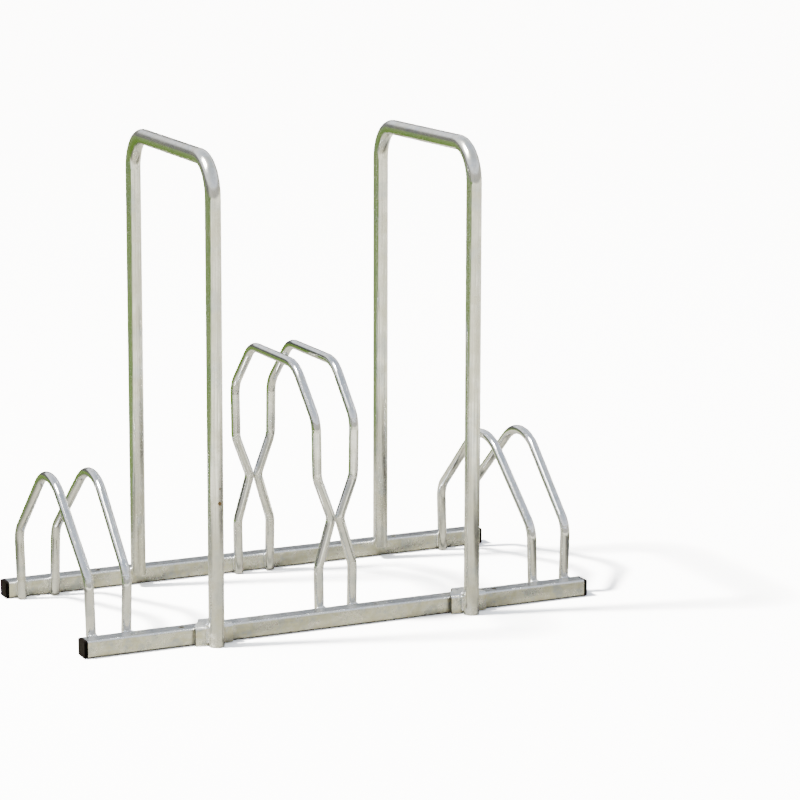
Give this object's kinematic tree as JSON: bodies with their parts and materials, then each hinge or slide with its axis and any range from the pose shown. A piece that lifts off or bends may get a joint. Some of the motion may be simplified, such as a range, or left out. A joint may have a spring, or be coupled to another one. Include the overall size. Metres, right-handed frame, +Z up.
{
  "type": "floor bike rack",
  "caption": "Galvanised floor bike rack: two long rails joined by bent wheel hoops in low and high pairs, with tall lean bars hooked over the front rail.",
  "frame": {"origin": "on the floor, in the middle of the four floor anchor holes of the two rails", "axes": "+X along the rails toward the right bar, +Y from the front rail to the rear rail, +Z up"},
  "size_m": [1.054, 0.5306, 0.929],
  "materials": {
    "zinc_rail": "hot-dip galvanised, dull and mottled",
    "zinc_tube": "hot-dip galvanised, half gloss",
    "zinc_clip": "hot-dip galvanised, dull",
    "weld_metal": "zinc over weld beads",
    "cap_plastic": "black moulded plastic"
  },
  "bodies": {
    "root": {"rail_front": "zinc_rail", "rail_rear": "zinc_rail", "cap_front_left": "cap_plastic", "cap_front_right": "cap_plastic", "cap_rear_left": "cap_plastic", "cap_rear_right": "cap_plastic", "low_hoop_left_outer": "zinc_tube", "low_hoop_left_inner": "zinc_tube", "high_hoop_left": "zinc_tube", "high_hoop_right": "zinc_tube", "low_hoop_right_inner": "zinc_tube", "low_hoop_right_outer": "zinc_tube", "lean_bar_left": "zinc_tube", "lean_bar_right": "zinc_tube", "clip_front_left": "zinc_clip", "clip_front_right": "zinc_clip", "hoop_welds_front": "weld_metal", "hoop_welds_rear": "weld_metal", "bar_welds_left": "weld_metal", "bar_welds_right": "weld_metal"}
  },
  "joints": []
}
